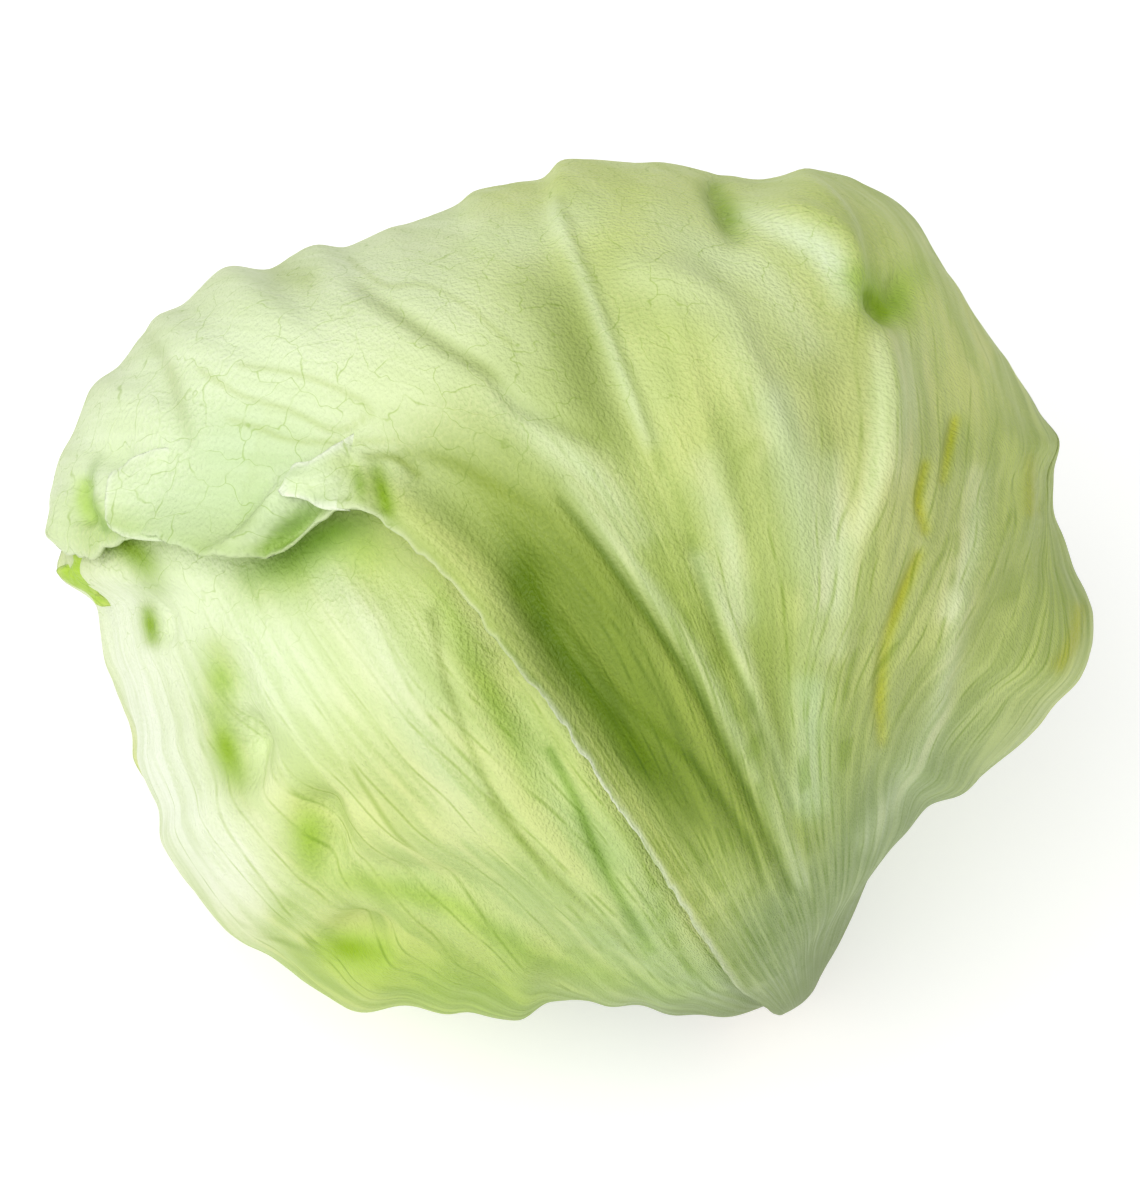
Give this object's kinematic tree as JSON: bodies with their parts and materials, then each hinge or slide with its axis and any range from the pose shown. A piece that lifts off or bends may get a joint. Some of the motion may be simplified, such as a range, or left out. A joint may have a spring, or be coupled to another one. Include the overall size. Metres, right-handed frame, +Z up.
{
  "type": "iceberg lettuce head",
  "caption": "Whole head of crisphead lettuce lying on its side, with loose wrinkled outer leaves wrapped round a dense heart and a cut stem.",
  "frame": {"origin": "on the table, at the flat spot under the middle of the head that the head rests on", "axes": "+Z up from the table, +X to the right as the head's best side is seen, along its longest extent, and the best side looks up towards -Y"},
  "size_m": [0.1864, 0.1606, 0.1495],
  "materials": {
    "cut_stem": "matte, pale cream cut stalk browned at its face",
    "heart_leaf": "satin, pale yellow-green packed leaf",
    "top_leaf": "satin, green blistered leaf with pale ribs and fine dark veins",
    "front_leaf": "satin, pale green leaf with whitish ribs and darker dents",
    "left_leaf": "satin, green leaf with a frilled corner",
    "right_leaf": "satin, green leaf with pale ribs"
  },
  "bodies": {
    "root": {"stem": "cut_stem", "heart": "heart_leaf", "top_leaf": "top_leaf", "front_leaf": "front_leaf", "left_leaf": "left_leaf", "right_leaf": "right_leaf"}
  },
  "joints": []
}
